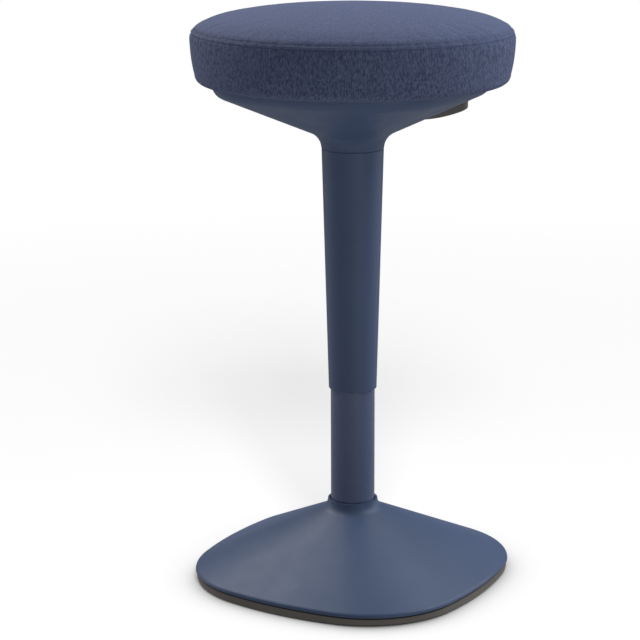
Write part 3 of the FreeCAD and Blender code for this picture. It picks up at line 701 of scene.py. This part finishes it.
def studio_floor():
    """To the camera a glowing floor that fades to white, with soft shadows from its lamp and painted shade
    close to whatever stands on it; to other rays plain grey.
    """
    finish = Finish("studio_floor")
    finish.tree.nodes.remove(finish.shader)
    plain = finish.add("ShaderNodeBsdfDiffuse", Color=(0.62, 0.62, 0.63, 1.0))
    glow = finish.add("ShaderNodeEmission")
    # painted shade: ambient occlusion dims the glow close to whatever stands on the floor
    contact_occlusion = finish.add("ShaderNodeAmbientOcclusion", Distance=floor_shade_reach, samples=16)
    contact_shade = finish.math("POWER", contact_occlusion.outputs["AO"], floor_shade_power)
    finish.join(finish.math("MULTIPLY", contact_shade, floor_glow), glow.inputs["Strength"])
    near = finish.add("ShaderNodeAddShader")
    finish.join(plain.outputs[0], near.inputs[0])
    finish.join(glow.outputs[0], near.inputs[1])
    white = finish.add("ShaderNodeEmission", Strength=1.0)
    where = finish.add("ShaderNodeTexCoord")
    away = finish.add("ShaderNodeVectorMath", operation="LENGTH")
    finish.join(where.outputs["Object"], away.inputs[0])
    fade = finish.spread(away.outputs["Value"], floor_fade[0], floor_fade[1])
    lit = mix_shaders(finish, fade, near, white)
    bounce = finish.add("ShaderNodeBsdfDiffuse", Color=(0.7, 0.7, 0.7, 1.0))
    seen = finish.add("ShaderNodeLightPath")
    mixed = mix_shaders(finish, seen.outputs["Is Camera Ray"], bounce, lit)
    finish.join(mixed.outputs[0], finish.tree.nodes["Material Output"].inputs["Surface"])
    return finish.material


def make_floor():
    mesh = bpy.data.meshes.new("floor")
    low, high = -floor_reach, floor_reach
    mesh.from_pydata([(low, low, 0), (high, low, 0), (high, high, 0), (low, high, 0)], [], [(0, 1, 2, 3)])
    floor = bpy.data.objects.new("floor", mesh)
    bpy.context.scene.collection.objects.link(floor)
    floor.location.z = -floor_drop
    mesh.materials.append(studio_floor())


def make_world():
    """A dim even light from all round, seen as plain white by the camera."""
    world = bpy.data.worlds.new("studio")
    bpy.context.scene.world = world
    world.use_nodes = True
    tree = world.node_tree
    tree.nodes.clear()
    path = tree.nodes.new("ShaderNodeLightPath")
    either = tree.nodes.new("ShaderNodeMath")
    either.operation = "MAXIMUM"
    tree.links.new(path.outputs["Is Camera Ray"], either.inputs[0])
    tree.links.new(path.outputs["Is Transmission Ray"], either.inputs[1])
    mixed = tree.nodes.new("ShaderNodeMixShader")
    tree.links.new(either.outputs[0], mixed.inputs[0])
    for number, strength in ((1, sky_strength), (2, 1.0)):
        sky = tree.nodes.new("ShaderNodeBackground")
        sky.inputs["Color"].default_value = (1.0, 1.0, 1.0, 1.0)
        sky.inputs["Strength"].default_value = strength
        tree.links.new(sky.outputs[0], mixed.inputs[number])
    output = tree.nodes.new("ShaderNodeOutputWorld")
    tree.links.new(mixed.outputs[0], output.inputs["Surface"])


def make_light(name, side, front, height, size, power, colour):
    """An area light that points at the column's foot."""
    data = bpy.data.lights.new(name, "AREA")
    data.shape = "RECTANGLE"
    data.size, data.size_y = size
    data.energy = power
    data.color = colour
    light = bpy.data.objects.new(name, data)
    bpy.context.scene.collection.objects.link(light)
    right = Vector((math.cos(camera_azimuth), math.sin(camera_azimuth), 0.0))
    nearer = Vector((math.sin(camera_azimuth), -math.cos(camera_azimuth), 0.0))
    light.location = right * side + nearer * front + Vector((0, 0, height))
    light.rotation_mode = "QUATERNION"
    light.rotation_quaternion = (-light.location).to_track_quat("-Z", "Y")
    return light


def light_part(light, floor_state):
    """INCLUDE lets a light fall on the floor alone, and EXCLUDE on everything but the floor."""
    receivers = bpy.data.collections.new("receivers_of_" + light.name)
    receivers.objects.link(bpy.data.objects["floor"])
    receivers.collection_objects[0].light_linking.link_state = floor_state
    light.light_linking.receiver_collection = receivers


def make_camera():
    data = bpy.data.cameras.new("photo_camera")
    data.sensor_width = 36.0
    data.lens = camera_lens
    data.shift_x = camera_shift
    data.clip_end = 100.0
    camera = bpy.data.objects.new("photo_camera", data)
    bpy.context.scene.collection.objects.link(camera)
    camera.location = (camera_distance * math.sin(camera_azimuth),
                       -camera_distance * math.cos(camera_azimuth), camera_height)
    camera.rotation_euler = (math.radians(90 - camera_pitch), 0.0, camera_azimuth)
    bpy.context.scene.camera = camera


make_floor()
make_world()
for lamp in lamps:
    light = make_light(*lamp)
    light_part(light, "INCLUDE" if light.name == "floor_light" else "EXCLUDE")
make_camera()
bpy.context.scene.view_settings.view_transform = "Standard"
